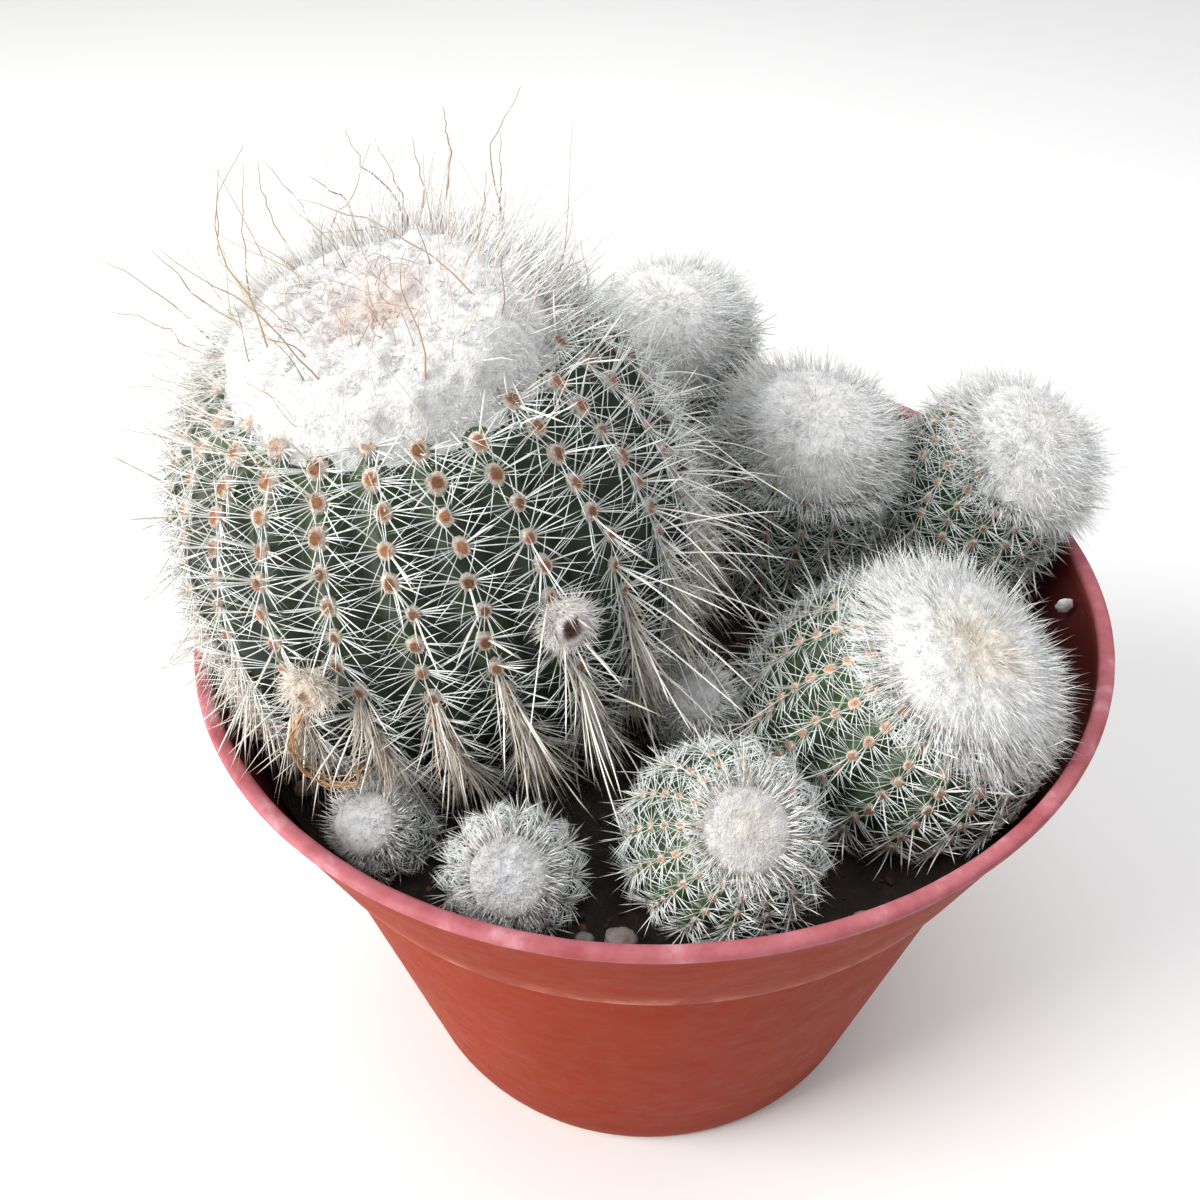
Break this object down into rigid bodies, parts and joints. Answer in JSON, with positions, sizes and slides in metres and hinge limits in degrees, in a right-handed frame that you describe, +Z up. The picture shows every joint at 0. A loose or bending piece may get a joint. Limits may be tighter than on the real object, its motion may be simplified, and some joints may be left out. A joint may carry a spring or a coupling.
{
  "type": "potted silver ball cactus",
  "caption": "Clump of ribbed ball cactus stems with woolly crowns and white spines, growing in a plain tapered nursery pot with a collar rim.",
  "frame": {"origin": "centre of the pot's flat base, on the surface it stands on", "axes": "+Z up along the pot's axis, -Y towards the side where the small offsets grow, the big main stem on the -X side"},
  "size_m": [0.1465, 0.14, 0.1625],
  "materials": {
    "pot_plastic": "satin terracotta-coloured plastic, scuffed",
    "growing_mix": "dark moist growing mix, matt",
    "flesh": "waxy green skin",
    "spine": "glassy white to cream spines",
    "areole": "brown felt",
    "wool": "soft white wool",
    "dried_tissue": "dry fibrous",
    "pebble": "matt",
    "grit": "matt white"
  },
  "bodies": {
    "root": {"pot": "pot_plastic", "soil": "growing_mix", "stem_main": "flesh", "stem_right_front": "flesh", "stem_front": "flesh", "stem_front_left": "flesh", "stem_far_left": "flesh", "stem_back": "flesh", "stem_back_right": "flesh", "stem_rear": "flesh", "stem_centre": "flesh", "flower_bud": "wool", "dried_flower": "dried_tissue", "dried_strand": "dried_tissue", "pebble_front": "pebble", "pebble_front_small": "pebble", "pebble_right": "pebble", "pebble_left": "pebble", "pebble_rear": "pebble", "pebble_rear_small": "pebble", "grit_flake": "grit", "grit_grain": "grit"}
  },
  "joints": []
}
